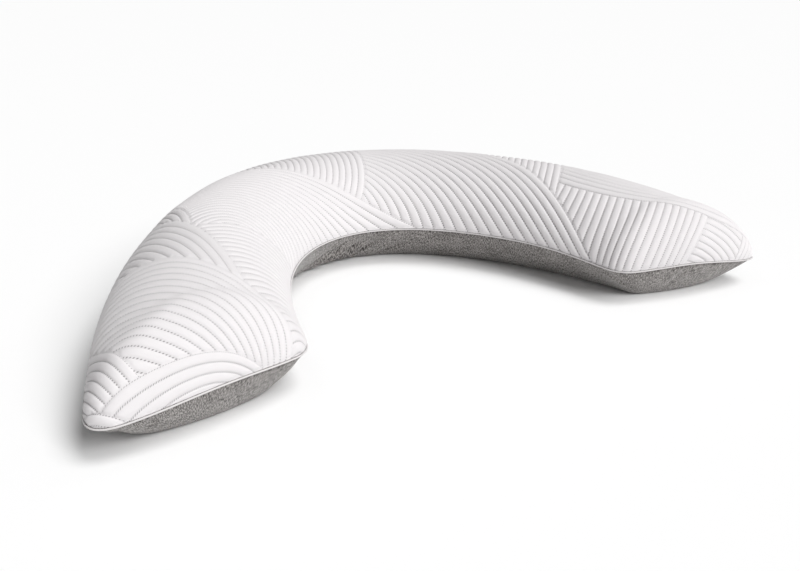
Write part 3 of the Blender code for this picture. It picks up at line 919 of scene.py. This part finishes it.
def run_tree(piece, tree, shape, sizes, material):
    """Ends the tree in real, dressed faces, runs it on an object and keeps a plain mesh."""
    real = add_node(tree, "GeometryNodeRealizeInstances", {"Geometry": shape})
    dressed = add_node(tree, "GeometryNodeSetMaterial", {
        "Geometry": real, "Material": tree.nodes["Group Input"].outputs["Material"]})
    end = tree.nodes.new("NodeGroupOutput")
    tree.links.new(dressed.outputs[0], end.inputs["Geometry"])
    modifier = piece.modifiers.new(tree.name, "NODES")
    modifier.node_group = tree
    values = {**sizes, "Material": material}
    for item in tree.interface.items_tree:
        if item.in_out == "INPUT" and item.name in values:
            modifier[item.identifier] = values[item.name]
    shown = piece.evaluated_get(bpy.context.evaluated_depsgraph_get())
    mesh = bpy.data.meshes.new_from_object(shown)
    piece.modifiers.clear()
    plain = piece.data
    piece.data = mesh
    mesh.name = piece.name
    bpy.data.meshes.remove(plain)
    print(piece.name + ":", sum(len(face.vertices) - 2 for face in mesh.polygons), "triangles")


# %% The stitch tree
STITCH_SIDES = 4
STITCH_RINGS = 3
stitch_sizes = {"Length": STITCH_LENGTH, "Thread Radius": THREAD_RADIUS}
stitch_tree, sizes = new_tree("stitches_on_points", stitch_sizes)
bead = add_node(stitch_tree, "GeometryNodeMeshUVSphere", {
    "Segments": STITCH_SIDES, "Rings": STITCH_RINGS, "Radius": 1.0})
half_length = add_node(stitch_tree, "ShaderNodeMath", {
    0: sizes["Length"], 1: 0.5}, operation="MULTIPLY")
bead_size = add_node(stitch_tree, "ShaderNodeCombineXYZ", {
    "X": sizes["Thread Radius"], "Y": sizes["Thread Radius"], "Z": half_length})
stitch = add_node(stitch_tree, "GeometryNodeTransform", {"Geometry": bead, "Scale": bead_size})
along = add_node(stitch_tree, "GeometryNodeInputNamedAttribute", {"Name": "along"},
                 data_type="FLOAT_VECTOR")
outward = add_node(stitch_tree, "GeometryNodeInputNamedAttribute", {"Name": "outward"},
                   data_type="FLOAT_VECTOR")
laid = add_node(stitch_tree, "FunctionNodeAlignRotationToVector", {
    "Vector": along}, axis="Z")
rolled = add_node(stitch_tree, "FunctionNodeAlignRotationToVector", {
    "Rotation": laid, "Vector": outward}, axis="X", pivot_axis="Z")
copies = add_node(stitch_tree, "GeometryNodeInstanceOnPoints", {
    "Points": sizes["Geometry"], "Instance": stitch, "Rotation": rolled})
run_tree(stitches, stitch_tree, copies, stitch_sizes, thread)
stitches.data.shade_smooth()

# %% [markdown]
# ## Piping
#
# A cord that follows a path is a curve with a round section. The path here is the seam, a little
# below and inside the panel's edge, as a closed line of mesh edges. The tree turns it into a
# curve, spaces its points evenly and sweeps a circle along it. A curve object with a bevel would
# do the same; the tree keeps the cord's radius and step as inputs that can be changed later.

# %% The piping tree
PIPING_RADIUS = 0.0012
PIPING_INSET = 0.0006          # how far inside the seam the cord's middle lies
PIPING_STEP = 0.0040
PIPING_SIDES = 12

seam_line = (ring(seam_outline, 1.0) - outward_at_seam(seam_outline) * PIPING_INSET
             - np.array((0.0, 0.0, PIPING_RADIUS + CLEARANCE)))
piping = add_object("seam_piping", bpy.data.meshes.new("seam_piping"))
piping.data.from_pydata(seam_line.tolist(), loop_edges(0, len(seam_line)), [])

piping_sizes = {"Cord Radius": PIPING_RADIUS, "Step": PIPING_STEP}
piping_tree, sizes = new_tree("cord_along_seam", piping_sizes)
path = add_node(piping_tree, "GeometryNodeMeshToCurve", {"Mesh": sizes["Geometry"]})
spaced = add_node(piping_tree, "GeometryNodeResampleCurve", {
    "Curve": path, "Length": sizes["Step"]}, mode="LENGTH")
section = add_node(piping_tree, "GeometryNodeCurvePrimitiveCircle", {
    "Resolution": PIPING_SIDES, "Radius": sizes["Cord Radius"]})
swept = add_node(piping_tree, "GeometryNodeCurveToMesh", {
    "Curve": spaced, "Profile Curve": section})
run_tree(piping, piping_tree, swept, piping_sizes, piping_cotton)
piping.data.shade_smooth()

# %% [markdown]
# ## The filled cushion
#
# Below the seam the jersey curves in and down, and the pillow's weight presses it flat where it
# lies on the floor. The cushion is built in rings too, from the seam down to the edge of the flat
# place, and closed on top by the smooth surface under the panel. Soft troughs and ridges then go
# into the sides: where an inner curve is short of room, jersey gathers into slanting puckers. A
# point's distances round the seam and down from it are its place on the jersey, so that the
# columns of loops run down the sides.

# %% Rings of the underside
BELLY_STEP = 0.0025            # distance from one column of points to the next
BELLY_RINGS = 36
RING_CROWDING = 1.4            # above 1, the rings lie closer together towards the seam
FLAT_HEIGHT = 0.005            # creases fade out below this height, where the jersey lies flat


def belly_ring(outline, share):
    """Points of the underside at one share of the way from the ridge to the seam."""
    plan = outline[:, 2:4] + share * (outline[:, 0:2] - outline[:, 2:4])
    lift = max(0.0, (share - REST_SHARE) / (1 - REST_SHARE)) ** BELLY_POWER
    return np.column_stack([plan, outline[:, 5] * lift])


# %% Puckers, gathers and the tuck under the piping
# A pucker is a slanting crease with a soft ridge beside it. along: its place in metres round the
# seam; drop: how far below the seam its middle lies; slant: how far it runs round for each metre
# down; width and length: half its size; depth: how deep the crease is.
PUCKER_COLUMNS = ("along", "drop", "slant", "width", "length", "depth")
PUCKER_ROWS = (
    (1.840, 0.060, 0.5, 0.0085, 0.030, 0.0125),
    (1.808, 0.063, 0.6, 0.0078, 0.026, 0.0110),
    (1.778, 0.063, 0.7, 0.0078, 0.022, 0.0095),
    (1.880, 0.066, 0.8, 0.0100, 0.024, 0.0040),
    (1.726, 0.066, 0.9, 0.0100, 0.020, 0.0045),
    (1.300, 0.030, -0.8, 0.0090, 0.022, 0.0022),
    (1.170, 0.034, 0.6, 0.0110, 0.024, 0.0020),
    (1.020, 0.026, -0.5, 0.0090, 0.018, 0.0024),
    (2.300, 0.030, 0.9, 0.0080, 0.020, 0.0022),
    (2.430, 0.036, -0.6, 0.0120, 0.026, 0.0018),
    (2.560, 0.024, 0.7, 0.0090, 0.018, 0.0030),
    (2.610, 0.032, 0.5, 0.0080, 0.016, 0.0026),
)
PUCKERS = [dict(zip(PUCKER_COLUMNS, row)) for row in PUCKER_ROWS]
RIDGE_OFFSET = 1.7             # from a pucker's crease to its ridge, over the pucker's width
RIDGE_SHARE = 0.55             # the ridge's height over the crease's depth
GATHER_DEPTH = 0.0008
GATHER_SIZE = 0.011            # distance from one small gather to the next along the seam
GATHER_STRETCH = 4             # a gather's length down over its width along the seam
GATHER_REACH = 0.030           # the gathers fade out this far below the seam
TUCK_DEPTH = 0.0060            # how far the jersey is pulled in under the piping
TUCK_DROP = 0.0030             # and how far below the seam that is deepest
TUCK_REACH = 0.0026


def bell(distance):
    """A smooth bump of height 1, about as wide as its argument's unit on each side."""
    return np.exp(-distance ** 2)


def creases(along, drop):
    """How far the jersey lies inside its smooth shape at places round and below the seam."""
    sunk = TUCK_DEPTH * bell((drop - TUCK_DROP) / TUCK_REACH)
    places = np.column_stack([along, drop / GATHER_STRETCH, np.zeros(len(along))])
    gathers = soft_noise(places, GATHER_SIZE, GATHER_SEED)
    sunk += GATHER_DEPTH * gathers * bell(drop / GATHER_REACH)
    for pucker in PUCKERS:
        below = drop - pucker["drop"]
        beside = (along - pucker["along"] - pucker["slant"] * below) / pucker["width"]
        fold = bell(beside) - RIDGE_SHARE * bell(beside - RIDGE_OFFSET)
        sunk += pucker["depth"] * fold * bell(below / pucker["length"])
    return sunk * np.clip(drop / TUCK_DROP, 0.0, 1.0)


# %% Fill the cushion
def filled_cushion(outline):
    """The cushion's points, triangles and each point's place on the jersey."""
    count = len(outline)
    place, position, normal, share, above = smooth_side(outline)
    top = position - normal * (thickness(share) + CLEARANCE)[:, None]
    shares = 1 - (1 - REST_SHARE) * np.linspace(1.0, 0.0, BELLY_RINGS + 1) ** RING_CROWDING
    rings = np.stack([belly_ring(outline, share) for share in shares])
    starts = [len(top) + i * count for i in range(BELLY_RINGS)] + [0]
    sides = [strip(upper, lower, count) for lower, upper in zip(starts, starts[1:])]
    base = triangulated(rings[0][:, :2], loop_edges(0, count))[1]
    inside = np.isin(base, np.arange(count)).all(axis=1)
    base = base[inside] + len(top)

    smooth = np.vstack([top] + list(rings[:-1]))
    sunk = np.zeros(len(smooth))
    steps = np.linalg.norm(np.diff(rings, axis=0), axis=2)
    drop = np.cumsum(steps[::-1], axis=0)[::-1].ravel()
    round_seam = run_lengths(closed(outline))[:-1]
    along = np.tile(round_seam, BELLY_RINGS)
    height = rings[:-1, :, 2].ravel()
    sunk[len(top):] = creases(along, drop) * np.clip(height / FLAT_HEIGHT, 0.0, 1.0)
    faces = np.vstack([above] + sides + [base[:, ::-1]])
    points = smooth - point_normals(smooth, np.vstack(sides)) * sunk[:, None]
    place[:count] = np.column_stack([round_seam, np.zeros(count)])
    return points, faces, np.vstack([place, np.column_stack([along, drop])])


belly_outline = evenly_spaced(whole_outline, BELLY_STEP)
cushion_points, cushion_faces, jersey = filled_cushion(belly_outline)
cushion, cushion_corners = new_piece("knit_cushion", cushion_points, cushion_faces, jersey)
cushion.data.materials.append(heather)


# %% Lay the jersey's grain
def lay_grain(piece, spots, places, around):
    """Lays the base's jersey out flat, and carries the sides' grain on where they close."""
    spots, places = spots.reshape(-1, 3, 3), places.reshape(-1, 3, 2)
    resting = (spots[:, :, 2] == 0.0).all(axis=1)
    places[resting] = spots[resting][:, :, :2]
    behind = places[:, :, 0] < places[:, :, 0].max(axis=1)[:, None] - around / 2
    places[:, :, 0][behind] += around
    piece.data.uv_layers["cloth"].data.foreach_set("uv", places.ravel())
    print("jersey laid out flat under", int(resting.sum()), "triangles")


lay_grain(cushion, cushion_points[cushion_corners], jersey[cushion_corners],
          run_lengths(closed(belly_outline))[-1])

# %% [markdown]
# ## The pieces in the plain solids' places
#
# The pieces now take the places of the plain solids: each is tied to the imported model's root,
# and the plain solids are hidden. The panel is a sheet stretched over the filling, and the cushion
# is padded and well filled.

# %% Tie the pieces to the imported model
for piece, slot in ((panel, "white_knit"), (stitches, "white_knit"),
                    (piping, "white_piping"), (cushion, "grey_knit")):
    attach(piece, "root")
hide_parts("quilted_top")
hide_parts("piping")
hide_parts("cushion")

# %% [markdown]
# ## Floor and light
#
# A product like this is shot on white. The floor is matt white paper, wide enough to fill the
# view, and a round white backdrop meets it far behind, so that a low view ends on white too. The
# backdrop only shows: it neither lights the pillow nor throws a shadow.
#
# Three soft lights do the rest. A high light keeps the top bright. A low one, a little to the
# right of the camera, reaches the sides, brings out the channels' relief and throws a pale shadow
# to the left. A white sky fills the shadows.

# %% Floor
FLOOR_HALF = 40.0
FLOOR_Z = -0.0005
floor_mesh = bpy.data.meshes.new("floor")
floor_mesh.from_pydata(
    [(x * FLOOR_HALF, y * FLOOR_HALF, FLOOR_Z) for x, y in ((-1, -1), (1, -1), (1, 1), (-1, 1))],
    [], [(0, 1, 2, 3)])
floor = add_object("floor", floor_mesh)
paper = new_cloth("white_studio_paper", {
    "Base Color": linear("#FBFBFB"), "Roughness": 0.95, "Specular IOR Level": 0.1})[0]
floor_mesh.materials.append(paper)

# %% Backdrop
BACKDROP_RADIUS = 38.0
BACKDROP_HEIGHT = 18.0
BACKDROP_SIDES = 96

bearings = np.arange(BACKDROP_SIDES) * 2 * math.pi / BACKDROP_SIDES
foot = np.column_stack([BACKDROP_RADIUS * np.cos(bearings), BACKDROP_RADIUS * np.sin(bearings),
                        np.full(BACKDROP_SIDES, FLOOR_Z)])
backdrop_mesh = bpy.data.meshes.new("backdrop")
backdrop_mesh.from_pydata(
    np.vstack([foot, foot + (0.0, 0.0, BACKDROP_HEIGHT)]).tolist(), [],
    strip(0, BACKDROP_SIDES, BACKDROP_SIDES).tolist())
backdrop = add_object("backdrop", backdrop_mesh)
glow = new_cloth("white_studio_backdrop", {
    "Base Color": linear("#000000"), "Specular IOR Level": 0.0,
    "Emission Color": linear("#FFFFFF"), "Emission Strength": 1.0})[0]
glow.cycles.emission_sampling = "NONE"
backdrop_mesh.materials.append(glow)
for ray in ("diffuse", "glossy", "transmission", "volume_scatter", "shadow"):
    setattr(backdrop, "visible_" + ray, False)

# %% Lights
LIGHT_COLUMNS = ("name", "from", "strength", "softness")
LIGHT_ROWS = (
    ("high", (0.31, -0.31, 0.90), 1.5, 32),
    ("low", (0.18, -0.77, 0.62), 1.9, 30),
)
SKY_STRENGTH = 0.23

for row in LIGHT_ROWS:
    light = dict(zip(LIGHT_COLUMNS, row))
    lamp = bpy.data.lights.new(light["name"], "SUN")
    lamp.energy = light["strength"]
    lamp.angle = math.radians(light["softness"])
    holder = add_object(light["name"], lamp)
    holder.rotation_euler = Vector(light["from"]).to_track_quat("Z", "Y").to_euler()
sky = bpy.data.worlds.new("white_sky")
sky.use_nodes = True
background = sky.node_tree.nodes["Background"].inputs
background["Color"].default_value = linear("#FFFFFF")
background["Strength"].default_value = SKY_STRENGTH
bpy.context.scene.world = sky
bpy.context.scene.view_settings.view_transform = "Standard"
bpy.context.scene.view_settings.look = "None"
